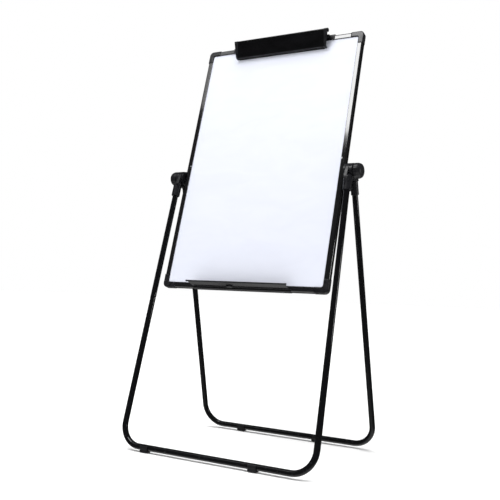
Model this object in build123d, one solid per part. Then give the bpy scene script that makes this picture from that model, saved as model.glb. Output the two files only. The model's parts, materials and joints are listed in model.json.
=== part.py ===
"""U-stand whiteboard easel: a framed board with a paper clamp and a pen tray, held by two
hubs between a front and a rear U-shaped leg.  Millimetres, X to the right, -Y to the front,
+Z up, origin on the floor at the middle of the footprint."""
from build123d import *
from math import atan2, cos, degrees, radians, sin, sqrt
import os

os.makedirs("parts", exist_ok=True)

# ---- driving dimensions: stance ----
PIVOT_Z = 901.5  # height of the hub axis above the floor
BOARD_LEAN = 15.1  # board tips back from upright, degrees
LEG_LEAN = 14.6  # each leg from upright, degrees

# ---- driving dimensions: board ----
BOARD_W = 600.0
BOARD_H = 900.0
PIVOT_UP = 397.0  # hub axis above the board's lower edge
RAIL = 18.0  # square section of the frame rails
CORNER_LEG = 45.0  # length of a corner piece along each rail
CORNER_PROUD = 0.8  # corner pieces stand proud of the rails
CORNER_ROUND = 15.0
RAIL_OUTER_ROUND = 6.0  # rounding of a rail's front, on its outer side
RAIL_INNER_ROUND = 1.5
PANEL_BACK = -3.0  # panel faces, from the middle of the frame's depth
PANEL_FRONT = 6.0
SHEET = 0.4
GROOVE_DEPTH = 7.1
PANEL_IN_GROOVE = 7.0
SLOT_MOUTH = 6.6  # T-slot in the outer side of every rail
SLOT_LIP = 1.6
SLOT_WIDTH = 12.0
SLOT_DEEP = 5.0
CHAMBER = (2.0, 10.0, -7.6, -4.3)  # hollow for the corner tenons: out low, out high, back, front

# ---- driving dimensions: legs ----
TUBE_R = 9.5
TUBE_WALL = 1.2
LEG_X_TOP = 319.0
FRONT_X_BOTTOM = 337.5  # both legs spread a little towards the floor
REAR_X_BOTTOM = 330.5
LEG_OFFSET = 17.4  # leg centre line from the hub axis, square to the leg
LEG_RAIL_Z = 15.5  # height of the floor rail's centre
LEG_TOP = 32.0  # tube end below the hub axis
BEND_R = 70.0
SOCKET_SCREW_AT = 45.0  # below the hub axis
FOOT_L = 28.0
FOOT_R = 12.0
FOOT_WIDTH = 22.0
FOOT_ROUND = 5.0
FOOT_TOP = 6.0  # the clip's arms end this far above the tube's centre
FRONT_FEET = (-240.0, 147.0)
REAR_FEET = (-178.0, 121.0)

# ---- driving dimensions: hubs, from the board outwards along X ----
HUB_R = 25.0
SHOULDER_CLEAR = 3.4  # room round the hub for the other leg's neck when the legs are folded
BLOCK_X = (300.3, 307.0)
FRICTION_X = (307.2, 308.2)
FRONT_DISC_X = (308.2, 318.8)
REAR_DISC_X = (319.2, 330.0)
WASHER_X = (330.0, 331.5)
KNOB_X = (331.8, 359.5)
BOLT_R = 3.0
BOLT_BORE = 3.05
INSERT_R = 6.5
INSERT_L = 11.0
FRONT_SOCKET = (14.0, 27.0, 71.0)  # radius, start and end below the axis
REAR_SOCKET = (12.4, 27.5, 77.0)
LINING_R = (20.0, 9.0)  # friction ring, outer and inner
WASHER_R = 12.0
FLUTES = 12
STOP_R = (14.4, 18.6)
STOP_HALF = 8.0  # half angle of the stop lug
STOP_DEEP = 3.4
T_HEAD_HALF = 8.0  # half length of the bolt's T-head along the slot
SLIDE_UP = 300.0  # the board's travel on its hubs
SLIDE_DOWN = 30.0
SLIDE_GAP = 0.3
SLOT_STOP_L = 8.0

# ---- edges of the board from the hub axis, and half sizes ----
BOTTOM = -PIVOT_UP
TOP = BOARD_H - PIVOT_UP
SIDE = BOARD_W / 2
HALF = RAIL / 2

# ---- driving dimensions: screws on the board ----
PANEL_SCREW = (SIDE - RAIL + 3.4, 43.0)  # x, up
PANEL_SCREW_R = 1.5
PANEL_SCREW_L = 2.9
CORNER_SCREW_R = 1.45
SLOT_SCREW_R = 2.0
SLOT_SCREW_HEAD = (3.6, 1.8)  # radius, height
NUT_HALF = (5.5, 1.6)  # half width, half thickness

# ---- driving dimensions: pen tray; profile points are (out from mid frame, up) ----
TRAY_HALF = 177.0
TRAY_T = 1.6
TRAY_FRONT = HALF + 0.85  # middle of the sheet, up the front of the rail
TRAY_FLOOR = [(TRAY_FRONT, BOTTOM + 6.5), (50.0, BOTTOM + 11.2)]
TRAY_PATH = [(-7.0, BOTTOM - 0.8), (TRAY_FRONT, BOTTOM - 0.8), *TRAY_FLOOR]
TRAY_BEND = 3.0
TRAY_SCREW_X = (-150.0, 0.0, 150.0)
TRAY_CAP_X = -33.0
TRAY_CAP_ALONG = 0.27  # place of the cap along the sloping floor
TRAY_CAP_OVAL = (13.0, 7.0)

# ---- driving dimensions: clamp; profile points are (out from mid frame, up) ----
CLAMP_HALF = 167.0
CLAMP_PATH = [(29.0, TOP + 2), (30.0, TOP + 8.5), (41.0, TOP + 9), (21.0, TOP - 47.4), (9.0, TOP - 47.4)]
CLAMP_T = 2.0
CLAMP_CAP_T = 3.4
CLAMP_CAP_SLANT = ((172.7, TOP - 63.0), (182.5, TOP + 22.0))  # x, up along its outer edge
CLAMP_WEB_UP = (TOP + 3.0, TOP - 23.0)
CLAMP_LUG_X = (161.0, 169.0)
CLAMP_WEB_X = (161.0, 176.0)
ROD = (TOP - 8.0, 19.0)  # up, out
ROD_R = 2.5
ROD_EYE_R = 5.0
ROD_HALF = 180.0
MOUNT_X = (172.0, 197.0)
MOUNT_ARM = 8.0
MOUNT_WALL = 1.5
MOUNT_SCREW_X = 188.5
SPRING_X = 142.0
SPRING_LEG = 9.0


def leaning(angle):
    """Plane through the hub axis: x to the right, y up the leaning part, z out of its front."""
    a = radians(angle)
    return Plane(origin=(0, 0, PIVOT_Z), x_dir=(1, 0, 0), z_dir=(0, -cos(a), sin(a)))


BOARD = leaning(BOARD_LEAN)
FRONT_LEG = leaning(LEG_LEAN)
REAR_LEG = leaning(-LEG_LEAN)


def save(name, shape, plane=None):
    """Write one node, standing on the plane of the part that it belongs to."""
    placed = plane.location * shape if plane else shape
    export_step(placed, f"parts/{name}.step")


def group(shapes):
    return Compound(children=list(shapes))


def mirrored(shape):
    return mirror(shape, about=Plane.YZ)


def block(x, y, z):
    """Box between two limits along each axis."""
    size = [high - low for low, high in (x, y, z)]
    centre = [(high + low) / 2 for low, high in (x, y, z)]
    return Pos(*centre) * Box(*size)


def rod_x(radius, x, y=0.0, z=0.0):
    """Cylinder along X between two limits."""
    return Pos((x[0] + x[1]) / 2, y, z) * Rot(0, 90, 0) * Cylinder(radius, x[1] - x[0])


def rod_y(radius, x, y, z):
    """Cylinder along Y between two limits."""
    return Pos(x, (y[0] + y[1]) / 2, z) * Rot(90, 0, 0) * Cylinder(radius, y[1] - y[0])


def rod_z(radius, x, y, z):
    """Cylinder along Z between two limits."""
    return Pos(x, y, (z[0] + z[1]) / 2) * Cylinder(radius, z[1] - z[0])


def rod_between(radius, start, end):
    """Cylinder between the centres of its two ends."""
    along = Vector(*end) - Vector(*start)
    solid = Cylinder(radius, along.length, align=(Align.CENTER, Align.CENTER, Align.MIN))
    return Plane(origin=start, z_dir=along).location * solid


def slab_x(sketch, x):
    """Extrude a sketch, drawn as (y, z), between two X limits."""
    return extrude(Plane.YZ.offset(x[0]) * sketch, x[1] - x[0])


def button_screw(head_r, head_h, shank_r, shank_l):
    """Pan-head screw along +Z with its head seat at the origin and a cross recess."""
    head = Cylinder(head_r, head_h, align=(Align.CENTER, Align.CENTER, Align.MIN))
    head = fillet(head.faces().sort_by(Axis.Z)[-1].edges(), head_h * 0.6)
    recess = Box(head_r * 1.1, head_r * 0.25, head_h) + Box(head_r * 0.25, head_r * 1.1, head_h)
    shank = Cylinder(shank_r, shank_l, align=(Align.CENTER, Align.CENTER, Align.MAX))
    return head + shank - Pos(0, 0, head_h * 1.1) * recess


# ---- board: panel ----
def panel_layer(back, front):
    width = BOARD_W - 2 * (RAIL - PANEL_IN_GROOVE)
    height = BOARD_H - 2 * (RAIL - PANEL_IN_GROOVE)
    middle = BOTTOM + BOARD_H / 2
    return block((-width / 2, width / 2), (middle - height / 2, middle + height / 2), (back, front))


# ---- board: rails ----
def rail_section():
    """Rail section with x out from the board and y to the front: panel groove, T-slot, chamber."""
    outline = Pos(HALF, 0) * Rectangle(RAIL, RAIL)
    outer = outline.vertices().sort_by_distance(Vertex(RAIL, HALF, 0))[0]
    outline = fillet(outer, RAIL_OUTER_ROUND)
    inner = outline.vertices().sort_by_distance(Vertex(0, HALF, 0))[0]
    outline = fillet(inner, RAIL_INNER_ROUND)
    back = outline.vertices().filter_by(lambda v: v.Y < -HALF + 0.01)
    outline = fillet(back, 1.2)
    groove = Pos(GROOVE_DEPTH / 2, (PANEL_BACK + PANEL_FRONT) / 2)
    outline -= groove * Rectangle(GROOVE_DEPTH, PANEL_FRONT - PANEL_BACK)
    outline -= Pos(RAIL - SLOT_LIP / 2, 0) * Rectangle(SLOT_LIP, SLOT_MOUTH)
    outline -= Pos(RAIL - SLOT_LIP - SLOT_DEEP / 2, 0) * Rectangle(SLOT_DEEP, SLOT_WIDTH)
    low, high, rear, fore = CHAMBER
    outline -= Pos((low + high) / 2, (rear + fore) / 2) * Rectangle(high - low, fore - rear)
    return outline


def rail(length):
    """Rail along +Y from the origin, with its outer side towards +X and its front at +Z."""
    section = Plane(origin=(0, 0, 0), x_dir=(1, 0, 0), z_dir=(0, -1, 0)) * rail_section()
    solid = Pos(0, length, 0) * extrude(section, length)
    for y in (12.0, length - 12.0):
        solid -= rod_z(1.6, (CHAMBER[0] + CHAMBER[1]) / 2, y, (-HALF - 1, CHAMBER[2] + 0.5))
    return solid


def side_rail():
    body = Pos(SIDE - RAIL, BOTTOM + CORNER_LEG, 0) * rail(BOARD_H - 2 * CORNER_LEG)
    return body - rod_z(PANEL_SCREW_R + 0.05, *PANEL_SCREW, (PANEL_FRONT - 0.1, HALF + 1))


def cross_rail():
    """Bottom rail; the top one is the same, turned round."""
    length = BOARD_W - 2 * CORNER_LEG
    return Pos(-length / 2, RAIL, 0) * Rot(0, 0, -90) * rail(length)


# ---- board: corners ----
def corner():
    """Moulded corner for the lower right, in board coordinates."""
    reach = SIDE - CORNER_LEG
    out = SIDE + CORNER_PROUD
    low = BOTTOM - CORNER_PROUD
    right = SIDE - RAIL - 0.6
    top = BOTTOM + RAIL + 0.6
    tall = BOTTOM + CORNER_LEG
    points = ((reach, low), (out, low), (out, tall), (right, tall), (right, top), (reach, top))
    shape = make_face(Polyline(*points, close=True))
    shape = fillet(shape.vertices().sort_by_distance(Vertex(out, low, 0))[0], CORNER_ROUND)
    shape = fillet(shape.vertices().sort_by_distance(Vertex(right, top, 0))[0], 6.0)
    depth = HALF + CORNER_PROUD
    solid = Pos(0, 0, -depth) * extrude(shape, 2 * depth)
    solid = fillet(solid.faces().sort_by(Axis.Z)[-1].edges(), 3.4)
    solid = fillet(solid.faces().sort_by(Axis.Z)[0].edges(), 1.2)
    solid -= panel_layer(PANEL_BACK, PANEL_FRONT)
    chamber_low, chamber_high, rear, fore = CHAMBER
    gap = 0.1
    across = (chamber_low + gap, chamber_high - gap)
    deep = (rear + gap, fore - gap)
    tenon_x = (SIDE - RAIL + across[0], SIDE - RAIL + across[1])
    solid += block(tenon_x, (BOTTOM + CORNER_LEG - 4, BOTTOM + CORNER_LEG + 24), deep)
    tenon_y = (BOTTOM + RAIL - across[1], BOTTOM + RAIL - across[0])
    solid += block((reach - 24, reach + 4), tenon_y, deep)
    for x, y in corner_screw_points():
        solid -= rod_z(CORNER_SCREW_R + 0.05, x, y, (-HALF, 0))
    return solid


def corner_screw_points():
    """Lower right corner: one screw into each tenon."""
    middle = (CHAMBER[0] + CHAMBER[1]) / 2
    beside = (SIDE - RAIL + middle, BOTTOM + CORNER_LEG + 12)
    below = (SIDE - CORNER_LEG - 12, BOTTOM + RAIL - middle)
    return [beside, below]


def four_corners(shape):
    """The lower right shape at all four corners: lower right, lower left, upper right, upper left."""
    middle = Plane.XZ.offset(-(BOTTOM + BOARD_H / 2))
    upper = mirror(shape, about=middle)
    return [shape, mirrored(shape), upper, mirrored(upper)]


def back_screws(points, seat):
    """Screws pushed in from the back, heads seated at the given depth."""
    screw = Rot(180, 0, 0) * button_screw(2.6, 1.3, CORNER_SCREW_R, 4.2)
    return [Pos(x, y, seat) * screw for x, y in points]


# ---- board: pen tray ----
TRAY_SLOPE = -degrees(atan2(TRAY_FLOOR[1][1] - TRAY_FLOOR[0][1], TRAY_FLOOR[1][0] - TRAY_FLOOR[0][0]))


def tray_point(along):
    """Point on the sloping floor's middle line, as (out, up)."""
    start, end = TRAY_FLOOR
    return tuple(start[i] + (end[i] - start[i]) * along for i in (0, 1))


def tray_section():
    line = FilletPolyline(*[(up, out) for out, up in TRAY_PATH], radius=TRAY_BEND)
    return trace(line, TRAY_T)


def pen_tray():
    body = slab_x(tray_section(), (-TRAY_HALF, TRAY_HALF))
    for x in TRAY_SCREW_X:
        body -= rod_y(2.1, x, (BOTTOM - 3, BOTTOM + 1), 0)
    out, up = tray_point(TRAY_CAP_ALONG)
    return body - Pos(TRAY_CAP_X, up, out) * Rot(TRAY_SLOPE, 0, 0) * rod_y(2.6, 0, (-3, 3), 0)


def tray_edge_trim():
    """Bead along the tray's front edge, slotted over the sheet."""
    out, up = TRAY_PATH[-1]
    ends = (-TRAY_HALF - 1.5, TRAY_HALF + 1.5)
    bead = rod_x(2.5, ends, up + 0.5, out + 1.2)
    return bead - slab_x(tray_section(), (-TRAY_HALF, TRAY_HALF))


def tray_trim_caps():
    out, up = TRAY_PATH[-1]
    ends = (TRAY_HALF + 1.5, TRAY_HALF + 5.0)
    cap = fillet(rod_x(3.0, ends, up + 0.5, out + 1.2).edges(), 1.2)
    return group([cap, mirrored(cap)])


def tray_lock_cap():
    """Oval push-in cap on the underside of the tray floor."""
    out, up = tray_point(TRAY_CAP_ALONG)
    oval = extrude(Plane.XZ * Ellipse(*TRAY_CAP_OVAL), 4.5)
    oval = fillet(oval.faces().sort_by(Axis.Y)[0].edges(), 2.8)
    stem = rod_y(2.5, 0, (-0.1, 3.4), 0)
    cap = Pos(0, -TRAY_T / 2 - 0.02, 0) * (oval + stem)
    return Pos(TRAY_CAP_X, up, out) * Rot(TRAY_SLOPE, 0, 0) * cap


def slot_nut():
    """Square nut that slides in the T-slot, its hole along Y."""
    wide, thick = NUT_HALF
    return block((-wide, wide), (-thick, thick), (-wide, wide)) - rod_y(SLOT_SCREW_R + 0.02, 0, (-3, 3), 0)


def tray_fixings():
    screw = Pos(0, BOTTOM - TRAY_T, 0) * Rot(90, 0, 0) * button_screw(*SLOT_SCREW_HEAD, SLOT_SCREW_R, 7.6)
    screws = group([Pos(x, 0, 0) * screw for x in TRAY_SCREW_X])
    nuts = group([Pos(x, BOTTOM + 3.4, 0) * slot_nut() for x in TRAY_SCREW_X])
    return screws, nuts


# ---- board: clamp ----
def clamp_section(width):
    line = FilletPolyline(*[(up, out) for out, up in CLAMP_PATH], radius=2.6)
    return trace(line, width)


def behind_face(up, inset):
    """Point at a height, set back square from the middle of the bar's sloping face."""
    (top_out, top_up), (low_out, low_up) = CLAMP_PATH[2:4]
    slope = (top_out - low_out) / (top_up - low_up)
    return (up, top_out + (up - top_up) * slope - inset * sqrt(1 + slope * slope))


def clamp_bar():
    return slab_x(clamp_section(CLAMP_T), (-CLAMP_HALF, CLAMP_HALF))


def clamp_cap():
    """Right end cap: the bar's section in plastic, cut to a slant, with the hinge lug inside."""
    end = slab_x(clamp_section(CLAMP_CAP_T), (CLAMP_HALF, ROD_HALF + 10))
    low, high = CLAMP_CAP_SLANT
    slant = make_face(Polyline((CLAMP_HALF - 1, low[1]), low, high, (CLAMP_HALF - 1, high[1]), close=True))
    end &= extrude(Plane.XY * slant, 60)
    web_ends = [Pos(*behind_face(up, 2.05)) * Circle(1.0) for up in CLAMP_WEB_UP]
    web_edges = web_ends[0].edges() + web_ends[1].edges()
    web = slab_x(make_hull(web_edges), CLAMP_WEB_X)
    lug = slab_x(make_hull(web_edges + (Pos(*ROD) * Circle(ROD_EYE_R)).edges()), CLAMP_LUG_X)
    return lug + web + end - rod_x(ROD_R + 0.06, (150, 200), *ROD)


def clamp_grip_strip():
    out, up = CLAMP_PATH[-1]
    return block((-CLAMP_HALF, CLAMP_HALF), (up - 1.8, up + 1.8), (PANEL_FRONT + 0.35, out))


def clamp_mount():
    """Right mount: a saddle over the top rail with an arm that holds the rod."""
    outer = (-HALF - MOUNT_WALL, HALF + MOUNT_WALL)
    saddle = block(MOUNT_X, (TOP - RAIL - 0.4, TOP + MOUNT_WALL), outer)
    saddle = fillet(saddle.edges().filter_by(Axis.X).group_by(Axis.Y)[-1], 2.4)
    foot_of_arm = Pos(ROD[0], HALF + 0.5) * Rectangle(12.0, 1.0)
    arm = make_hull((Pos(*ROD) * Circle(ROD_EYE_R)).edges() + foot_of_arm.edges())
    saddle += slab_x(arm, (MOUNT_X[0], MOUNT_X[0] + MOUNT_ARM))
    saddle -= block((0, SIDE), (TOP - RAIL - 5, TOP), (-HALF, HALF))
    saddle -= rod_x(ROD_R, (150, ROD_HALF), *ROD)
    return saddle - rod_y(2.1, MOUNT_SCREW_X, (TOP - 1, TOP + 3), 0)


def clamp_mount_fixings():
    screw = Rot(-90, 0, 0) * button_screw(*SLOT_SCREW_HEAD, SLOT_SCREW_R, 7.2)
    screw = Pos(MOUNT_SCREW_X, TOP + MOUNT_WALL, 0) * screw
    nut = Pos(MOUNT_SCREW_X, TOP - 3.4, 0) * slot_nut()
    return group([screw, mirrored(screw)]), group([nut, mirrored(nut)])


def clamp_spring():
    """Right torsion spring round the rod, with one leg up and one leg down."""
    coil_r, wire_r, pitch, turns = 4.6, 0.8, 2.0, 7.5
    coil = Helix(pitch, pitch * turns, coil_r, center=(SPRING_X, *ROD), direction=(1, 0, 0))
    first = Line(coil @ 0 - (coil % 0) * SPRING_LEG, coil @ 0)
    last = Line(coil @ 1, coil @ 1 + (coil % 1) * SPRING_LEG)
    path = Wire([first.edge(), coil.edge(), last.edge()])
    return sweep(Plane(origin=path @ 0, z_dir=path % 0) * Circle(wire_r), path=path, is_frenet=True)


# ---- legs ----
def leg_depth():
    """Distance down the leg from the hub axis to the floor rail's centre."""
    a = radians(LEG_LEAN)
    return (PIVOT_Z + LEG_OFFSET * sin(a) - LEG_RAIL_Z) / cos(a)


def tube_point(below, side):
    """Point on the right tube's centre line, a distance below the hub axis."""
    bottom = FRONT_X_BOTTOM if side > 0 else REAR_X_BOTTOM
    flare = (bottom - LEG_X_TOP) / (leg_depth() - LEG_TOP)
    return (LEG_X_TOP + (below - LEG_TOP) * flare, -below, side * LEG_OFFSET)


def leg_tube(side):
    """U-shaped tube in its leg's own plane; side is +1 for the front leg and -1 for the rear."""
    right = [tube_point(LEG_TOP, side), tube_point(leg_depth(), side)]
    left = [(-x, y, z) for x, y, z in right]
    path = FilletPolyline(left[0], left[1], right[1], right[0], radius=BEND_R)
    ring = Circle(TUBE_R) - Circle(TUBE_R - TUBE_WALL)
    tube = sweep(Plane(origin=path @ 0, z_dir=path % 0) * ring, path=path)
    hole = socket_screw_hole(side)
    return tube - hole - mirrored(hole)


def socket_screw_hole(side):
    """Hole from the side that faces the other leg to the middle of the tube."""
    x, y, z = tube_point(SOCKET_SCREW_AT, side)
    return rod_z(2.1, x, y, sorted((-side, z)))


def knuckle(disc_x, socket, side):
    """Right hub knuckle: pivot disc, neck and leg socket, in the leg's own plane."""
    radius, start, end = socket
    near = side * (LEG_OFFSET - 9.0)
    far = side * (LEG_OFFSET + radius)
    neck = Pos(-(start + 4.0), (near + far) / 2) * Rectangle(6.0, abs(far - near))
    solid = slab_x(make_hull(Circle(HUB_R).edges() + neck.edges()), disc_x)
    solid = fillet(solid.edges().filter_by(GeomType.CIRCLE), 1.0)
    barrel = rod_between(radius, tube_point(start, side), tube_point(end, side))
    barrel = fillet(barrel.edges().sort_by(Axis.Y)[-1], 3.0)
    barrel = fillet(barrel.edges().sort_by(Axis.Y)[0], 1.0)
    x, y, z = tube_point(start + 4.0, side)
    shoulder = Pos(x, y, z) * Sphere(radius)
    inboard = rod_x(HUB_R + SHOULDER_CLEAR, (BLOCK_X[0], disc_x[0]))
    outboard = rod_x(HUB_R + SHOULDER_CLEAR, (disc_x[1], KNOB_X[1]))
    solid += barrel + (shoulder - inboard - outboard)
    solid -= rod_x(BOLT_BORE, (disc_x[0] - 1, disc_x[1] + 1))
    solid -= rod_between(TUBE_R + 0.05, tube_point(LEG_TOP - 0.2, side), tube_point(end + 1, side))
    return solid - socket_screw_hole(side)


def ring_sector(inner, outer, start, end):
    low = CenterArc((0, 0), inner, start, end - start)
    high = CenterArc((0, 0), outer, start, end - start)
    return make_face([low, high, Line(low @ 0, high @ 0), Line(low @ 1, high @ 1)])


def front_knuckle():
    """Front knuckle with the arc groove that the rear knuckle's stop lug runs in."""
    body = knuckle(FRONT_DISC_X, FRONT_SOCKET, 1)
    fold = 2 * LEG_LEAN
    groove = ring_sector(STOP_R[0] - 0.4, STOP_R[1] + 0.4, -STOP_HALF - 2.0, STOP_HALF + fold + 1.0)
    return body - slab_x(groove, (FRONT_DISC_X[1] - STOP_DEEP - 0.6, FRONT_DISC_X[1] + 1.0))


def rear_knuckle():
    """Rear knuckle with the stop lug that sets how far the legs open."""
    body = knuckle(REAR_DISC_X, REAR_SOCKET, -1)
    lug = ring_sector(STOP_R[0], STOP_R[1], -STOP_HALF, STOP_HALF)
    return body + slab_x(lug, (REAR_DISC_X[0] - STOP_DEEP, REAR_DISC_X[0] + 1.0))


def socket_screws(socket, side):
    """One screw in each socket, from the side that faces the other leg."""
    x, y, z = tube_point(SOCKET_SCREW_AT, side)
    turn = 180 if side > 0 else 0
    screw = Rot(turn, 0, 0) * button_screw(3.8, 2.4, 2.0, 7.0)
    screw = Pos(x, y, z - side * socket[0]) * screw
    return group([screw, mirrored(screw)])


def foot(x, side):
    """Clip-on foot under a floor rail, in room coordinates; side is -1 in front, +1 behind."""
    a = radians(LEG_LEAN)
    y = side * (LEG_OFFSET * cos(a) + leg_depth() * sin(a))
    pad = Pos(0, LEG_RAIL_Z / 2) * Rectangle(FOOT_WIDTH, LEG_RAIL_Z)
    pad = fillet(pad.vertices().group_by(Axis.Y)[0], FOOT_ROUND)
    section = Pos(0, LEG_RAIL_Z) * Circle(FOOT_R) + pad
    solid = extrude(Plane.YZ.offset(x - FOOT_L / 2) * Pos(y, 0) * section, FOOT_L)
    side_view = Pos(x, FOOT_L / 2) * Rectangle(FOOT_L, FOOT_L)
    side_view = fillet(side_view.vertices().group_by(Axis.Y)[0], FOOT_ROUND)
    solid &= extrude(Plane.XZ.offset(-y - FOOT_WIDTH) * side_view, 2 * FOOT_WIDTH)
    above = (LEG_RAIL_Z + FOOT_TOP, LEG_RAIL_Z + 2 * FOOT_R)
    solid -= block((x - FOOT_L, x + FOOT_L), (y - FOOT_WIDTH, y + FOOT_WIDTH), above)
    return solid - rod_x(TUBE_R + 0.05, (x - FOOT_L, x + FOOT_L), y, LEG_RAIL_Z)


# ---- hubs ----
def slide_block():
    """Right slide block: a round cheek against the rail with a key in its T-slot."""
    cheek = rod_x(HUB_R - 1.0, BLOCK_X)
    cheek = fillet(cheek.edges().sort_by(Axis.X)[-1], 1.0)
    key = block((BLOCK_X[0] - 1.5, BLOCK_X[0] + 1.0), (-20, 20), (-3.0, 3.0))
    return cheek + key - rod_x(BOLT_BORE, (290, 310))


def pivot_bolt():
    """Right pivot bolt, its T-head in the rail's slot."""
    head = block((294.0, 298.0), (-T_HEAD_HALF, T_HEAD_HALF), (-5.7, 5.7))
    head = fillet(head.edges().filter_by(Axis.X), 2.0)
    return head + rod_x(BOLT_R, (297.0, KNOB_X[0] + INSERT_L + 1.0))


def ring_x(outer, inner, x):
    return rod_x(outer, x) - rod_x(inner, (x[0] - 1, x[1] + 1))


def knob():
    """Domed clamping knob with shallow finger flutes."""
    x0, x1 = KNOB_X
    dome = Spline((x0 + 11.0, HUB_R), (x1 - 4.0, 17.5), (x1, 0), tangents=((1, 0), (0, -1)))
    outline = make_face([Polyline((x1, 0), (x0, 0), (x0, HUB_R), (x0 + 11.0, HUB_R)), dome])
    solid = revolve(outline, Axis.X)
    for i in range(FLUTES):
        flute = rod_x(5.0, (x0 + 4.0, x1 + 5.0), 0, HUB_R + 4.1)
        solid -= Rot(360 / FLUTES * i, 0, 0) * flute
    solid -= rod_x(INSERT_R, (x0 - 1, x0 + INSERT_L))
    return solid - rod_x(BOLT_R + 0.3, (x0, x0 + INSERT_L + 3.0))


def slot_stops():
    """Plastic blocks in both side T-slots that end the board's travel."""
    above = T_HEAD_HALF + SLIDE_DOWN + SLIDE_GAP
    below = -T_HEAD_HALF - SLIDE_UP - SLIDE_GAP - SLOT_STOP_L
    stops = []
    for start in (above, below):
        stops.append(block((293.6, 298.2), (start, start + SLOT_STOP_L), (-5.8, 5.8)))
    return group(stops + [mirrored(s) for s in stops])


# ---- write the nodes ----
def write_board():
    save("writing_sheet", panel_layer(PANEL_FRONT - SHEET, PANEL_FRONT), BOARD)
    save("panel_core", panel_layer(PANEL_BACK + SHEET, PANEL_FRONT - SHEET), BOARD)
    save("back_sheet", panel_layer(PANEL_BACK, PANEL_BACK + SHEET), BOARD)
    right = side_rail()
    save("rail_right", right, BOARD)
    save("rail_left", mirrored(right), BOARD)
    bottom = Pos(0, BOTTOM, 0) * cross_rail()
    save("rail_bottom", bottom, BOARD)
    save("rail_top", mirror(bottom, about=Plane.XZ.offset(-(BOTTOM + BOARD_H / 2))), BOARD)
    names = ("bottom_right", "bottom_left", "top_right", "top_left")
    for name, solid in zip(names, four_corners(corner())):
        save(f"corner_{name}", solid, BOARD)
    screws = [four_corners(s) for s in back_screws(corner_screw_points(), -HALF)]
    save("corner_screws", group(s for four in screws for s in four), BOARD)
    panel_screw = Pos(*PANEL_SCREW, HALF) * button_screw(2.9, 1.6, PANEL_SCREW_R, PANEL_SCREW_L)
    save("panel_screws", group([panel_screw, mirrored(panel_screw)]), BOARD)
    save("slot_stops", slot_stops(), BOARD)


def write_tray():
    save("pen_tray", pen_tray(), BOARD)
    save("tray_edge_trim", tray_edge_trim(), BOARD)
    save("tray_trim_caps", tray_trim_caps(), BOARD)
    save("tray_lock_cap", tray_lock_cap(), BOARD)
    screws, nuts = tray_fixings()
    save("tray_screws", screws, BOARD)
    save("tray_nuts", nuts, BOARD)


def write_clamp():
    save("clamp_rod", rod_x(ROD_R, (-ROD_HALF, ROD_HALF), *ROD), BOARD)
    save("clamp_bar", clamp_bar(), BOARD)
    save("clamp_grip_strip", clamp_grip_strip(), BOARD)
    screws, nuts = clamp_mount_fixings()
    save("clamp_mount_screws", screws, BOARD)
    save("clamp_mount_nuts", nuts, BOARD)
    for name, solid in (("mount", clamp_mount()), ("cap", clamp_cap()), ("spring", clamp_spring())):
        save(f"clamp_{name}_right", solid, BOARD)
        save(f"clamp_{name}_left", mirrored(solid), BOARD)


def write_legs():
    legs = (
        ("front", FRONT_LEG, 1, FRONT_SOCKET, front_knuckle(), FRONT_FEET),
        ("rear", REAR_LEG, -1, REAR_SOCKET, rear_knuckle(), REAR_FEET),
    )
    for name, plane, side, socket, right, feet in legs:
        save(f"{name}_leg_tube", leg_tube(side), plane)
        save(f"{name}_knuckle_right", right, plane)
        save(f"{name}_knuckle_left", mirrored(right), plane)
        save(f"{name}_socket_screws", socket_screws(socket, side), plane)
        for end, x in zip(("left", "right"), feet):
            save(f"{name}_foot_{end}", foot(x, -side))


def write_hubs():
    washer = ring_x(WASHER_R, BOLT_BORE, WASHER_X)
    save("pivot_washers", group([washer, mirrored(washer)]), REAR_LEG)
    lining = ring_x(*LINING_R, FRICTION_X)
    save("friction_rings", group([lining, mirrored(lining)]), FRONT_LEG)
    insert = ring_x(INSERT_R, BOLT_BORE, (KNOB_X[0], KNOB_X[0] + INSERT_L))
    pieces = (
        ("slide_block", slide_block(), BOARD),
        ("pivot_bolt", pivot_bolt(), BOARD),
        ("knob", knob(), FRONT_LEG),
        ("knob_insert", insert, FRONT_LEG),
    )
    for name, solid, plane in pieces:
        save(f"{name}_right", solid, plane)
        save(f"{name}_left", mirrored(solid), plane)


write_board()
write_tray()
write_clamp()
write_legs()
write_hubs()
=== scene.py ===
"""Looks for the whiteboard easel: finishes for every carried-over piece, modelled knobs,
and the studio.  It is laid out as an add-on and is run as a script."""

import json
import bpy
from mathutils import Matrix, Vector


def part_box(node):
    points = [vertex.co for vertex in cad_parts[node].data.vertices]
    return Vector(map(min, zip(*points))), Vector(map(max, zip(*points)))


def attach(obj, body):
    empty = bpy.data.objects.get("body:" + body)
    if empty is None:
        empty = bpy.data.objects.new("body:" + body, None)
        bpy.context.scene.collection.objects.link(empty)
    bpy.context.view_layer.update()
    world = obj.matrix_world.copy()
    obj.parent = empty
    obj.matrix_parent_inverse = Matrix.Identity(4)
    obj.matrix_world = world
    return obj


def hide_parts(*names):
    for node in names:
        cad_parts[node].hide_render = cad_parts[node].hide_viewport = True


bl_info = {
    "name": "Whiteboard Easel Finishing",
    "version": (1, 0, 0),
    "blender": (4, 5, 0),
    "location": "3D View > Sidebar > Easel",
    "description": "Models and finishes a U-stand whiteboard easel round its engineering frame",
    "category": "Object",
}

from math import atan2, pi, radians

import bpy
from bpy.props import FloatProperty, FloatVectorProperty, IntProperty, PointerProperty, StringProperty
from mathutils import Matrix, Vector

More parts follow.
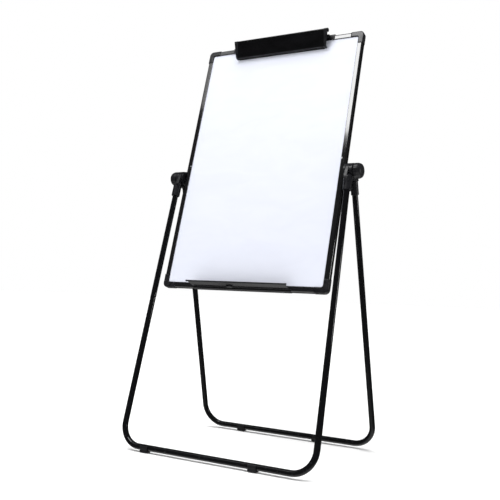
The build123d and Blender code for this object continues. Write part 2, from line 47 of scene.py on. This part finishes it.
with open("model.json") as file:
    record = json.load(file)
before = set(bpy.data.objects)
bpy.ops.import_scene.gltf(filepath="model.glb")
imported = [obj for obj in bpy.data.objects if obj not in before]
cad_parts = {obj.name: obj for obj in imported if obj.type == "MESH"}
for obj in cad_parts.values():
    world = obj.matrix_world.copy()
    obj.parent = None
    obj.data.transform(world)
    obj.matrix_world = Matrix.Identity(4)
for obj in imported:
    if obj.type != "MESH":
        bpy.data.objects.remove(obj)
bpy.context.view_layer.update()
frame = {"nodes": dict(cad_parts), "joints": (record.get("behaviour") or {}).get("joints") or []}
MM = 0.001


def linear(hex_colour, alpha=1.0):
    """sRGB hex to the linear values that shaders and lights take."""
    channels = [int(hex_colour[i : i + 2], 16) / 255 for i in (1, 3, 5)]
    lin = [c / 12.92 if c <= 0.04045 else ((c + 0.055) / 1.055) ** 2.4 for c in channels]
    return (*lin, alpha)


def joint_axis(name):
    """Direction of a joint's axis in the frame."""
    joint = next(j for j in frame["joints"] if j["name"] == name)
    return Vector(joint["axis"]).normalized()


UP_BOARD = joint_axis("board_height")
BOARD_LEAN = atan2(UP_BOARD.y, UP_BOARD.z)


# ---- settings that a user would change ----
class EaselColours(bpy.types.PropertyGroup):
    """Paint and moulding colours, as sRGB hex"""

    enamel: StringProperty(name="Enamel", description="Writing surface", default="#d3d6e1")
    paint: StringProperty(name="Stoved paint", description="Leg tubes", default="#08080a")
    anodised: StringProperty(name="Rail finish", description="Frame rails", default="#08080a")
    moulding: StringProperty(name="Moulded plastic", description="Hubs and knobs", default="#111114")
    coat: StringProperty(name="Powder coat", description="Pen tray", default="#0b0b0d")
    floor: StringProperty(name="Floor", description="Studio floor", default="#f7f7f7")


class EaselKnob(bpy.types.PropertyGroup):
    """Sizes of the clamping knobs"""

    radius: FloatProperty(name="Radius", description="Of the grip", default=25 * MM, unit="LENGTH")
    grip: FloatProperty(
        name="Grip",
        description="Straight part of the length",
        default=0.38,
        subtype="FACTOR",
    )
    flutes: IntProperty(name="Flutes", description="Finger flutes round the grip", default=12, min=3)
    flute_depth: FloatProperty(
        name="Flute depth",
        description="Depth of a flute",
        default=1.1 * MM,
        unit="LENGTH",
    )
    bore: FloatProperty(
        name="Bore",
        description="Radius of the insert's bore",
        default=6.5 * MM,
        unit="LENGTH",
    )
    bore_depth: FloatProperty(
        name="Bore depth",
        description="Depth of the bore",
        default=11 * MM,
        unit="LENGTH",
    )


class EaselStudio(bpy.types.PropertyGroup):
    """Camera and lights"""

    eye: FloatVectorProperty(
        name="Eye",
        description="Place of the camera",
        default=(1.16306, -2.11138, 0.53341),
        unit="LENGTH",
        subtype="TRANSLATION",
        precision=5,
    )
    yaw: FloatProperty(
        name="Yaw",
        description="Turned to its left",
        default=radians(29.509),
        subtype="ANGLE",
    )
    pitch: FloatProperty(name="Pitch", description="Tipped up", default=radians(2.81), subtype="ANGLE")
    roll: FloatProperty(
        name="Roll",
        description="Rolled to its left",
        default=radians(2.192),
        subtype="ANGLE",
    )
    lens: FloatProperty(name="Lens", description="Focal length in mm", default=52.52)
    key_power: FloatProperty(name="Key", description="Softbox in front, watts", default=42.0, min=0.0)
    wing_power: FloatProperty(
        name="Wing",
        description="Dimmer panel left of the key, watts",
        default=6.0,
        min=0.0,
    )
    strip_power: FloatProperty(
        name="Strip",
        description="Tall strip light, watts",
        default=6.0,
        min=0.0,
    )
    ceiling: FloatProperty(
        name="Ceiling",
        description="Light from overhead, W/m2",
        default=3.3,
        min=0.0,
    )
    fill: FloatProperty(
        name="Fill",
        description="Light that the white room gives all round",
        default=0.45,
        min=0.0,
    )
    room: FloatProperty(
        name="Room",
        description="Brightness of the room in gloss",
        default=0.09,
        min=0.0,
    )
    floor_glow: FloatProperty(
        name="Floor glow",
        description="Brightness from below in gloss",
        default=0.9,
        min=0.0,
    )


# ---- shaders ----
def add(nodes, kind, inputs=None, **settings):
    """Adds one node: settings are its own values; inputs are numbers, or sockets to link from."""
    node = nodes.new(kind)
    for name, value in settings.items():
        setattr(node, name, value)
    for name, value in (inputs or {}).items():
        if isinstance(value, bpy.types.NodeSocket):
            nodes.id_data.links.new(value, node.inputs[name])
        else:
            node.inputs[name].default_value = value
    return node


def start_finish(name, **shader):
    """A new material with its shader's own constants set."""
    material = bpy.data.materials.new(name)
    material.use_nodes = True
    nodes = material.node_tree.nodes
    bsdf = nodes["Principled BSDF"]
    for socket, value in shader.items():
        bsdf.inputs[socket.replace("_", " ")].default_value = value
    return material, nodes, bsdf


def pattern(nodes, period, lean=0.0, detail=2.0, distortion=0.0):
    """Noise on the piece's own coordinates; period is (x, y, z) in mm, along a part that leans back."""
    coords = add(nodes, "ShaderNodeTexCoord")
    scale = tuple(1 / (p * MM) for p in period)
    turn = {"Vector": coords.outputs["Object"], "Rotation": (lean, 0.0, 0.0)}
    turned = add(nodes, "ShaderNodeMapping", turn)
    placed = add(nodes, "ShaderNodeMapping", {"Vector": turned.outputs[0], "Scale": scale})
    shape = {"Vector": placed.outputs[0], "Scale": 1.0, "Detail": detail, "Distortion": distortion}
    return add(nodes, "ShaderNodeTexNoise", shape).outputs["Fac"]


# the sockets of a Map Range node, and two stretches of a pattern's values
RANGE = ("Value", "From Min", "From Max", "To Min", "To Max")
MIDDLE = (0.3, 0.7)  # where most of a noise pattern lies
WHOLE = (0.0, 1.0)


def surface(nodes, bsdf, tones, gloss, relief=None, tone_reach=MIDDLE, gloss_reach=MIDDLE):
    """Drives the shader by patterns.  tones is a pattern and the two hex colours that it blends,
    gloss is a pattern and the two roughnesses that it runs between, and relief is a pattern, its
    depth in mm and its strength.  A reach is the stretch of the pattern's values that is used."""
    link = bsdf.id_data.links.new
    tone_span = (tones[0], *tone_reach, *WHOLE)
    gloss_span = (gloss[0], *gloss_reach, *gloss[1:])
    blend, roughness = (
        add(nodes, "ShaderNodeMapRange", dict(zip(RANGE, span))).outputs[0]
        for span in (tone_span, gloss_span)
    )
    ends = {0: blend, 6: linear(tones[1]), 7: linear(tones[2])}
    link(add(nodes, "ShaderNodeMix", ends, data_type="RGBA").outputs[2], bsdf.inputs["Base Color"])
    link(roughness, bsdf.inputs["Roughness"])
    if relief:
        height, depth_mm, strength = relief
        dents = {"Height": height, "Strength": strength, "Distance": depth_mm * MM}
        link(add(nodes, "ShaderNodeBump", dents).outputs[0], bsdf.inputs["Normal"])


def enamelled_steel(colours):
    """Vitreous enamel fired on sheet steel: cool white and glossy, with a faint orange peel, and
    hazed in broad arcs where a cloth has wiped it."""
    material, nodes, bsdf = start_finish("enamelled_steel", IOR=1.5, Specular_IOR_Level=0.22)
    wiped = pattern(nodes, (160, 160, 60), BOARD_LEAN, 4.0, 1.2)
    peel = pattern(nodes, (7, 7, 7))
    tones = (wiped, colours.enamel, "#d0d3de")
    surface(nodes, bsdf, tones, (wiped, 0.36, 0.46), (peel, 0.05, 0.3))
    return material


def galvanised_sheet():
    """Hot-dip zinc on the back sheet, dulled by its own oxide: pale grey with soft crystal flakes
    about 12 mm across."""
    material, nodes, bsdf = start_finish("galvanised_sheet", Metallic=0.6)
    coords = add(nodes, "ShaderNodeTexCoord")
    flakes = add(
        nodes,
        "ShaderNodeTexVoronoi",
        {"Vector": coords.outputs["Object"], "Scale": 1 / (12 * MM), "Randomness": 1.0},
    )
    grey = add(nodes, "ShaderNodeRGBToBW", {"Color": flakes.outputs["Color"]}).outputs[0]
    streaks = pattern(nodes, (40, 40, 300), BOARD_LEAN, 3.0)
    tones = (grey, "#a9adb1", "#c6c9cc")
    surface(nodes, bsdf, tones, (grey, 0.34, 0.5), (streaks, 0.1, 0.2), WHOLE, (0.2, 0.8))
    return material


def pressed_fibreboard():
    """Pressed wood fibre: mid brown, matt and flecked."""
    material, nodes, bsdf = start_finish("pressed_fibreboard", IOR=1.5)
    fleck = pattern(nodes, (1.5, 1.5, 1.5), 0.0, 6.0)
    surface(nodes, bsdf, (fleck, "#6e4f34", "#94714d"), (fleck, 0.75, 0.95), (fleck, 0.2, 0.4))
    return material


def anodised_extrusion(name, colours, lean, period):
    """Black anodised aluminium, drawn through a die: deep gloss with fine lines along its length,
    drawn here 0.8 mm apart so that they show."""
    material, nodes, bsdf = start_finish(name, IOR=1.76, Specular_IOR_Level=0.6)
    lines = pattern(nodes, period, lean, 3.0)
    rubbed = pattern(nodes, (55, 55, 55), lean, 5.0, 0.6)
    tones = (rubbed, colours.anodised, "#101013")
    surface(nodes, bsdf, tones, (rubbed, 0.05, 0.1), (lines, 0.02, 0.15), tone_reach=(0.45, 0.8))
    return material


SCUFFED_HEIGHTS = (0.01, 0.16)  # metres: scuffs are full at the first and gone by the second


def stoved_enamel(colours):
    """Black stoving enamel on steel tube: wet gloss with a soft orange peel, a little dust, and
    scuffs close to the floor."""
    material, nodes, bsdf = start_finish("stoved_enamel", IOR=1.5, Specular_IOR_Level=0.4)
    coords = add(nodes, "ShaderNodeTexCoord")
    height = add(nodes, "ShaderNodeSeparateXYZ", {"Vector": coords.outputs["Object"]}).outputs["Z"]
    scratch = pattern(nodes, (9, 1.2, 5), 0.0, 4.0, 0.4)
    dust = pattern(nodes, (30, 30, 80), 0.0, 5.0)
    peel = pattern(nodes, (5, 5, 5))
    spans = (
        (height, *SCUFFED_HEIGHTS, 1.0, 0.0),
        (scratch, 0.62, 0.7, *WHOLE),
        (dust, *MIDDLE, 0.05, 0.11),
    )
    near_floor, scratched, dusty = (
        add(nodes, "ShaderNodeMapRange", dict(zip(RANGE, span))).outputs[0] for span in spans
    )
    scuffs = {0: near_floor, 1: scratched}
    worn = add(nodes, "ShaderNodeMath", scuffs, operation="MULTIPLY").outputs[0]
    dulled = {0: worn, 1: 0.3, 2: dusty}
    rough = add(nodes, "ShaderNodeMath", dulled, operation="MULTIPLY_ADD").outputs[0]
    tones = (worn, colours.paint, "#2c2c2e")
    surface(nodes, bsdf, tones, (rough, *WHOLE), (peel, 0.02, 0.2), WHOLE, WHOLE)
    return material


def moulded_plastic(name, colour, gloss, grain_mm=0.7, level=0.4, worn="#1d1d20"):
    """Injection moulding from a spark-eroded tool: an even fine grain, polished on what hands
    touch.  The grain is drawn coarser than the real 0.2 mm so that it shows."""
    material, nodes, bsdf = start_finish(name, IOR=1.5, Specular_IOR_Level=level)
    grain = pattern(nodes, (grain_mm,) * 3, 0.0, 3.0)
    handled = pattern(nodes, (22, 22, 22), 0.0, 4.0, 0.8)
    roughness = (handled, gloss, gloss + 0.14)
    surface(nodes, bsdf, (handled, colour, worn), roughness, (grain, 0.03, 0.35))
    return material


def powder_coat(name, colour, gloss, worn, level):
    """Baked polyester powder on folded steel: satin, with a pebbled orange peel 2 mm across."""
    material, nodes, bsdf = start_finish(name, IOR=1.5, Specular_IOR_Level=level)
    pebble = pattern(nodes, (2, 2, 2), 0.0, 2.0)
    handled = pattern(nodes, (60, 25, 25), 0.0, 4.0, 0.5)
    roughness = (handled, gloss, gloss + 0.1)
    surface(nodes, bsdf, (handled, colour, worn), roughness, (pebble, 0.06, 0.4))
    return material


def plated_steel(name, bright, dull, gloss):
    """Zinc-plated or polished steel: bright, with a cloudy passivated film and fine scratches."""
    material, nodes, bsdf = start_finish(name, Metallic=1.0)
    film = pattern(nodes, (4, 4, 4), 0.0, 4.0)
    scratch = pattern(nodes, (12, 0.5, 0.5), 0.0, 3.0)
    roughness = (film, gloss, gloss + 0.16)
    surface(nodes, bsdf, (film, bright, dull), roughness, (scratch, 0.02, 0.3))
    return material


def ribbed_rubber():
    """Moulded rubber grip: matt charcoal with fine ribs along the bar, 1.5 mm apart."""
    material, nodes, bsdf = start_finish("ribbed_rubber", IOR=1.52)
    coords = add(nodes, "ShaderNodeTexCoord")
    turn = {"Vector": coords.outputs["Object"], "Rotation": (BOARD_LEAN, 0.0, 0.0)}
    turned = add(nodes, "ShaderNodeMapping", turn)
    ribs = add(
        nodes,
        "ShaderNodeTexWave",
        {"Vector": turned.outputs[0], "Scale": pi / (10 * 1.5 * MM)},
        bands_direction="Z",
    )
    dust = pattern(nodes, (3, 3, 3), 0.0, 5.0)
    relief = (ribs.outputs["Fac"], 0.2, 0.8)
    surface(nodes, bsdf, (dust, "#161617", "#242425"), (dust, 0.6, 0.85), relief)
    return material


def woven_friction_lining():
    """Resin-bonded friction fibre: rust brown, matt, with a coarse weave 1.4 mm across."""
    material, nodes, bsdf = start_finish("woven_friction_lining", IOR=1.5)
    coords = add(nodes, "ShaderNodeTexCoord")
    weave = add(
        nodes,
        "ShaderNodeTexVoronoi",
        {"Vector": coords.outputs["Object"], "Scale": 1 / (1.4 * MM), "Randomness": 0.3},
    )
    cells = weave.outputs["Distance"]
    tones = (cells, "#6b3f2a", "#3d2a20")
    surface(nodes, bsdf, tones, (cells, 0.7, 0.9), (cells, 0.2, 0.6), WHOLE, WHOLE)
    return material


# ---- assigning finishes ----
def coat(names, material):
    """Gives carried-over nodes one finish, in every material slot they have."""
    for name in names:
        data = frame["nodes"][name].data
        if not data.materials:
            data.materials.append(material)
        for i in range(len(data.materials)):
            data.materials[i] = material


def pair(stem, ends=("left", "right")):
    """Names of the two nodes that share a stem."""
    return [f"{stem}_{end}" for end in ends]


class EASEL_OT_panel(bpy.types.Operator):
    """Finish the writing sheet, the core and the back sheet"""

    bl_idname = "easel.panel"
    bl_label = "Writing Panel"

    def execute(self, context):
        coat(["writing_sheet"], enamelled_steel(context.scene.easel_colours))
        coat(["panel_core"], pressed_fibreboard())
        coat(["back_sheet"], galvanised_sheet())
        return {"FINISHED"}


class EASEL_OT_rails(bpy.types.Operator):
    """Finish the four frame rails and their corners"""

    bl_idname = "easel.rails"
    bl_label = "Rails and Corners"

    def execute(self, context):
        colours = context.scene.easel_colours
        upright = anodised_extrusion("anodised_side_rail", colours, BOARD_LEAN, (0.8, 0.8, 250))
        cross = anodised_extrusion("anodised_cross_rail", colours, BOARD_LEAN, (250, 0.8, 0.8))
        coat(pair("rail"), upright)
        coat(pair("rail", ("top", "bottom")), cross)
        corners = [f"corner_{v}_{h}" for v in ("top", "bottom") for h in ("left", "right")]
        coat(corners, moulded_plastic("moulded_abs_corner", "#0e0e10", 0.2, 0.7, 0.35))
        return {"FINISHED"}


class EASEL_OT_clamp(bpy.types.Operator):
    """Finish the paper clamp, its mounts, rod and springs"""

    bl_idname = "easel.clamp"
    bl_label = "Paper Clamp"

    def execute(self, context):
        coat(["clamp_bar"], powder_coat("powder_coated_clamp_bar", "#050506", 0.14, "#08080a", 0.25))
        caps = moulded_plastic("moulded_clamp_cap", "#08080a", 0.24, level=0.2)
        coat(pair("clamp_cap") + pair("clamp_mount"), caps)
        coat(["clamp_grip_strip"], ribbed_rubber())
        coat(["clamp_rod"], plated_steel("bright_drawn_rod", "#c9ccd0", "#a9acb0", 0.16))
        coat(pair("clamp_spring"), plated_steel("oiled_spring_wire", "#6c6a66", "#4a4844", 0.28))
        return {"FINISHED"}


class EASEL_OT_tray(bpy.types.Operator):
    """Finish the pen tray, its edge trim and its cap"""

    bl_idname = "easel.tray"
    bl_label = "Pen Tray"

    def execute(self, context):
        colours = context.scene.easel_colours
        coat(["pen_tray"], powder_coat("powder_coated_tray", colours.coat, 0.16, "#111113", 0.5))
        coat(["tray_edge_trim"], moulded_plastic("extruded_pvc_trim", "#0b0b0c", 0.35))
        coat(["tray_trim_caps", "tray_lock_cap"], moulded_plastic("moulded_tray_cap", "#0c0c0e", 0.3))
        return {"FINISHED"}


class EASEL_OT_legs(bpy.types.Operator):
    """Finish the two U-shaped legs and their feet"""

    bl_idname = "easel.legs"
    bl_label = "Legs and Feet"

    def execute(self, context):
        colours = context.scene.easel_colours
        coat(["front_leg_tube", "rear_leg_tube"], stoved_enamel(colours))
        coat(pair("front_foot") + pair("rear_foot"), moulded_plastic("soft_pvc_foot", "#0d0d0f", 0.45, 1.2))
        return {"FINISHED"}


class EASEL_OT_hubs(bpy.types.Operator):
    """Finish the hubs and everything on the pivot bolts"""

    bl_idname = "easel.hubs"
    bl_label = "Hubs"

    def execute(self, context):
        colours = context.scene.easel_colours
        hub = moulded_plastic("glass_filled_nylon_hub", colours.moulding, 0.2, 0.7, 0.25)
        coat(pair("front_knuckle") + pair("rear_knuckle") + pair("slide_block"), hub)
        coat(["slot_stops"], moulded_plastic("moulded_slot_stop", "#1c1c1f", 0.4))
        coat(pair("knob_insert"), plated_steel("turned_brass", "#c9a24a", "#a8843a", 0.25))
        coat(["friction_rings"], woven_friction_lining())
        return {"FINISHED"}


class EASEL_OT_fixings(bpy.types.Operator):
    """Finish the screws, nuts, washers and bolts"""

    bl_idname = "easel.fixings"
    bl_label = "Fixings"

    def execute(self, context):
        zinc = plated_steel("zinc_plated_screw", "#d5d8dc", "#aeb2b8", 0.22)
        screws = ["corner_screws", "panel_screws", "tray_screws", "clamp_mount_screws"]
        black = plated_steel("black_oxide_screw", "#3a3a3d", "#242427", 0.25)
        coat(["front_socket_screws", "rear_socket_screws"], black)
        nuts = ["tray_nuts", "clamp_mount_nuts", "pivot_washers"]
        coat(screws + nuts + pair("pivot_bolt"), zinc)
        return {"FINISHED"}


# ---- knobs, modelled in edit mode ----
def pick(mesh_object, part, wanted):
    """Leaves edit mode selecting only the faces or vertices whose place and normal pass a test."""
    bpy.ops.mesh.select_mode(type="FACE" if part == "polygons" else "VERT")
    bpy.ops.mesh.select_all(action="DESELECT")
    bpy.ops.object.mode_set(mode="OBJECT")
    for item in getattr(mesh_object.data, part):
        item.select = wanted(item.center if part == "polygons" else item.co, item.normal)
    bpy.ops.object.mode_set(mode="EDIT")


def step_in(rise, draw, hub, x):
    """Extrudes the selected end face along X and draws the new ring in towards the hub axis."""
    bpy.ops.mesh.extrude_region_move(TRANSFORM_OT_translate={"value": (rise, 0, 0)})
    bpy.ops.transform.resize(value=(1, draw, draw), center_override=(x + rise, hub.y, hub.z))
    return x + rise


# the domed cap, ring by ring: share of the knob's length, and size against the ring before
DOME = ((0.05, 1.0), (0.2, 0.955), (0.15, 0.9), (0.1, 0.83), (0.06, 0.68), (0.02, 0.35))
EDGE = 1.2 * MM  # a strip this wide beside an edge keeps it crisp when the mesh is rounded off
BOLT_END_ROOM = 3 * MM  # past the insert
FACING = 0.9  # share of a face's normal along X that makes it an end face
RIM = 0.9  # share of the radius past which a vertex is on the grip
FLUTE_HALF = 1 / 8  # half a flute's width, as a share of the distance between flutes
SHARP = radians(50)  # edges that turn more than this stay sharp in the shading


def model_knob(name, sizes, low, high):
    """Clamping knob at the +X end of the hub axis: fluted grip, domed cap, stepped bore."""
    hub = (low + high) / 2
    grip = sizes.grip * (high.x - low.x)
    bpy.ops.object.select_all(action="DESELECT")
    bpy.ops.mesh.primitive_cylinder_add(
        vertices=sizes.flutes * 4,
        radius=sizes.radius,
        depth=grip,
        end_fill_type="NGON",
        location=(low.x + grip / 2, hub.y, hub.z),
        rotation=(0, pi / 2, 0),
    )
    knob = bpy.context.object
    knob.name = name
    bpy.ops.object.transform_apply(location=True, rotation=True, scale=True)
    bpy.ops.object.mode_set(mode="EDIT")

    pick(knob, "polygons", lambda at, normal: normal.x > FACING)
    x = low.x + grip
    for rise, draw in DOME:
        x = step_in(rise * (high.x - low.x), draw, hub, x)
    bpy.ops.mesh.merge(type="CENTER")

    pick(knob, "polygons", lambda at, normal: normal.x < -FACING)
    bpy.ops.mesh.inset(thickness=EDGE)
    bpy.ops.mesh.inset(thickness=sizes.radius - sizes.bore - 2 * EDGE)
    bpy.ops.mesh.inset(thickness=EDGE)
    for depth in (EDGE, sizes.bore_depth - EDGE):
        bpy.ops.mesh.extrude_region_move(TRANSFORM_OT_translate={"value": (depth, 0, 0)})
    bpy.ops.mesh.inset(thickness=sizes.bore / 2)
    bpy.ops.mesh.extrude_region_move(TRANSFORM_OT_translate={"value": (BOLT_END_ROOM, 0, 0)})

    apart = 2 * pi / sizes.flutes

    def in_flute(at, normal):
        """True on the grip near the middle line of a flute."""
        out = Vector((0, at.y - hub.y, at.z - hub.z))
        turn = (atan2(out.y, out.z) + pi) % apart
        near = min(turn, apart - turn) < apart * FLUTE_HALF
        return near and out.length > sizes.radius * RIM

    pick(knob, "vertices", in_flute)
    draw = 1 - sizes.flute_depth / sizes.radius
    bpy.ops.transform.resize(value=(1, draw, draw), center_override=hub)

    bpy.ops.mesh.select_all(action="SELECT")
    bpy.ops.mesh.normals_make_consistent(inside=False)
    bpy.ops.object.mode_set(mode="OBJECT")
    smooth = knob.modifiers.new("round_off", "SUBSURF")
    smooth.levels = 2
    smooth.render_levels = 2
    bpy.ops.object.modifier_apply(modifier=smooth.name)
    bpy.ops.object.shade_smooth_by_angle(angle=SHARP)
    return knob


def mirror_copy(original, name):
    """A copy with its own mesh on the other side of the object's middle."""
    bpy.ops.object.select_all(action="DESELECT")
    original.select_set(True)
    bpy.context.view_layer.objects.active = original
    bpy.ops.object.duplicate(linked=False)
    copy = bpy.context.object
    copy.name = name
    bpy.ops.object.mode_set(mode="EDIT")
    bpy.ops.mesh.select_all(action="SELECT")
    bpy.ops.transform.resize(value=(-1, 1, 1), center_override=(0, 0, 0))
    bpy.ops.mesh.remove_doubles(threshold=0.001 * MM)
    bpy.ops.mesh.normals_make_consistent(inside=False)
    bpy.ops.object.mode_set(mode="OBJECT")
    return copy


class EASEL_OT_knobs(bpy.types.Operator):
    """Model the two clamping knobs"""

    bl_idname = "easel.knobs"
    bl_label = "Clamping Knobs"

    def execute(self, context):
        scene = context.scene
        low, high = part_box("knob_right")
        right = model_knob("knob_grip_right", scene.easel_knob, low, high)
        left = mirror_copy(right, "knob_grip_left")
        finish = moulded_plastic("moulded_knob", scene.easel_colours.moulding, 0.24, 0.9, 0.3)
        for knob, node in ((right, "knob_right"), (left, "knob_left")):
            knob.data.materials.clear()
            knob.data.materials.append(finish)
            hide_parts(node)
            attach(knob, node)
        return {"FINISHED"}


# ---- studio ----
WHITE = linear("#ffffff")
FLOOR_RADIUS = 25.0
FLOOR_DROP = 0.2 * MM  # keeps the floor clear of the feet
KEY_PLACE, WING_PLACE = (-0.62, -1.6, 3.35), (-1.95, -1.3, 3.65)
PANEL_AIM, PANEL_SIZE = (0, 0, 1.1), (1.2, 1.25)
STRIP_PLACE, STRIP_AIM, STRIP_SIZE = (2.4, 0.5, 0.92), (0, 0, 0.55), (0.22, 0.6)
CEILING_PLACE, CEILING_SPREAD = (0, 0, 5), radians(60)
GLOW = (-0.75, -0.5)  # Z of a reflection's direction: full floor glow below the first, none above the second
SENSOR = 36.0


def aim(obj, target):
    """Turns a light from where it is towards a point."""
    obj.rotation_mode = "QUATERNION"
    obj.rotation_quaternion = (Vector(target) - obj.location).to_track_quat("-Z", "Y")


def softbox(name, place, target, size, power):
    """White rectangular area light; size is its width and height in metres."""
    bpy.ops.object.light_add(type="AREA", location=place)
    lamp = bpy.context.object
    lamp.name = name
    lamp.data.shape = "RECTANGLE"
    lamp.data.size = size[0]
    lamp.data.size_y = size[1]
    lamp.data.energy = power
    lamp.data.color = WHITE[:3]
    aim(lamp, target)


def studio_floor(colours):
    """Painted studio floor: pale and matt, with the faint mottle of a roller."""
    material, nodes, bsdf = start_finish("painted_studio_floor", IOR=1.45)
    roller = pattern(nodes, (220, 220, 220), 0.0, 4.0)
    surface(nodes, bsdf, (roller, colours.floor, "#f4f4f4"), (roller, 0.7, 0.8))
    return material


class EASEL_OT_stage(bpy.types.Operator):
    """Build the floor, the lights, the room and the camera"""

    bl_idname = "easel.stage"
    bl_label = "Studio"

    def execute(self, context):
        scene = context.scene
        studio = scene.easel_studio
        bpy.ops.object.select_all(action="DESELECT")
        bpy.ops.mesh.primitive_circle_add(
            vertices=96,
            radius=FLOOR_RADIUS,
            fill_type="NGON",
            location=(0, 0, -FLOOR_DROP),
        )
        floor = context.object
        floor.name = "studio_floor"
        bpy.ops.object.transform_apply(location=True, rotation=True, scale=True)
        floor.data.materials.append(studio_floor(scene.easel_colours))
        floor.visible_glossy = False

        softbox("key_softbox", KEY_PLACE, PANEL_AIM, PANEL_SIZE, studio.key_power)
        softbox("wing_panel", WING_PLACE, PANEL_AIM, PANEL_SIZE, studio.wing_power)
        softbox("strip_light", STRIP_PLACE, STRIP_AIM, STRIP_SIZE, studio.strip_power)
        bpy.ops.object.light_add(type="SUN", location=CEILING_PLACE)
        ceiling = context.object
        ceiling.name = "ceiling_light"
        ceiling.data.energy = studio.ceiling
        ceiling.data.angle = CEILING_SPREAD
        ceiling.visible_glossy = False

        world = bpy.data.worlds.new("studio_room")
        world.use_nodes = True
        scene.world = world
        nodes = world.node_tree.nodes
        nodes.clear()
        path = add(nodes, "ShaderNodeLightPath").outputs
        way = add(nodes, "ShaderNodeTexCoord").outputs["Generated"]
        drop = add(nodes, "ShaderNodeSeparateXYZ", {"Vector": way}).outputs["Z"]
        span = (drop, *GLOW, studio.floor_glow, studio.room)
        glow = add(nodes, "ShaderNodeMapRange", dict(zip(RANGE, span))).outputs[0]
        room, fill, paper = (
            add(nodes, "ShaderNodeBackground", {"Color": WHITE, "Strength": strength}).outputs[0]
            for strength in (glow, studio.fill, 1.0)
        )
        lit = {0: path["Is Diffuse Ray"], 1: room, 2: fill}
        unseen = add(nodes, "ShaderNodeMixShader", lit).outputs[0]
        seen = {0: path["Is Camera Ray"], 1: unseen, 2: paper}
        both = add(nodes, "ShaderNodeMixShader", seen)
        add(nodes, "ShaderNodeOutputWorld", {"Surface": both.outputs[0]})

        bpy.ops.object.camera_add(location=studio.eye)
        camera = context.object
        camera.name = "studio_camera"
        turn = Matrix.Rotation(studio.yaw, 4, "Z")
        tip = Matrix.Rotation(pi / 2 + studio.pitch, 4, "X")
        lean = Matrix.Rotation(studio.roll, 4, "Z")
        camera.matrix_world = Matrix.Translation(studio.eye) @ turn @ tip @ lean
        camera.data.lens = studio.lens
        camera.data.sensor_width = SENSOR
        scene.camera = camera
        scene.view_settings.view_transform = "Standard"
        scene.view_settings.look = "None"
        return {"FINISHED"}


class EASEL_PT_sidebar(bpy.types.Panel):
    """Lists the easel's settings and steps"""

    bl_label = "Whiteboard Easel"
    bl_idname = "EASEL_PT_sidebar"
    bl_space_type = "VIEW_3D"
    bl_region_type = "UI"
    bl_category = "Easel"

    def draw(self, context):
        scene = context.scene
        for group in (scene.easel_colours, scene.easel_knob, scene.easel_studio):
            box = self.layout.box()
            for name in group.__annotations__:
                box.prop(group, name)
        for step in STEPS:
            self.layout.operator(step.bl_idname)


STEPS = (
    EASEL_OT_stage,
    EASEL_OT_panel,
    EASEL_OT_rails,
    EASEL_OT_clamp,
    EASEL_OT_tray,
    EASEL_OT_legs,
    EASEL_OT_hubs,
    EASEL_OT_knobs,
    EASEL_OT_fixings,
)
CLASSES = (EaselColours, EaselKnob, EaselStudio, *STEPS, EASEL_PT_sidebar)


def register():
    for cls in CLASSES:
        bpy.utils.register_class(cls)
    bpy.types.Scene.easel_colours = PointerProperty(type=EaselColours)
    bpy.types.Scene.easel_knob = PointerProperty(type=EaselKnob)
    bpy.types.Scene.easel_studio = PointerProperty(type=EaselStudio)


def unregister():
    del bpy.types.Scene.easel_colours
    del bpy.types.Scene.easel_knob
    del bpy.types.Scene.easel_studio
    for cls in reversed(CLASSES):
        bpy.utils.unregister_class(cls)


def main():
    """Builds everything in order."""
    register()
    for step in STEPS:
        category, name = step.bl_idname.split(".")
        getattr(getattr(bpy.ops, category), name)()


if __name__ == "__main__":
    main()
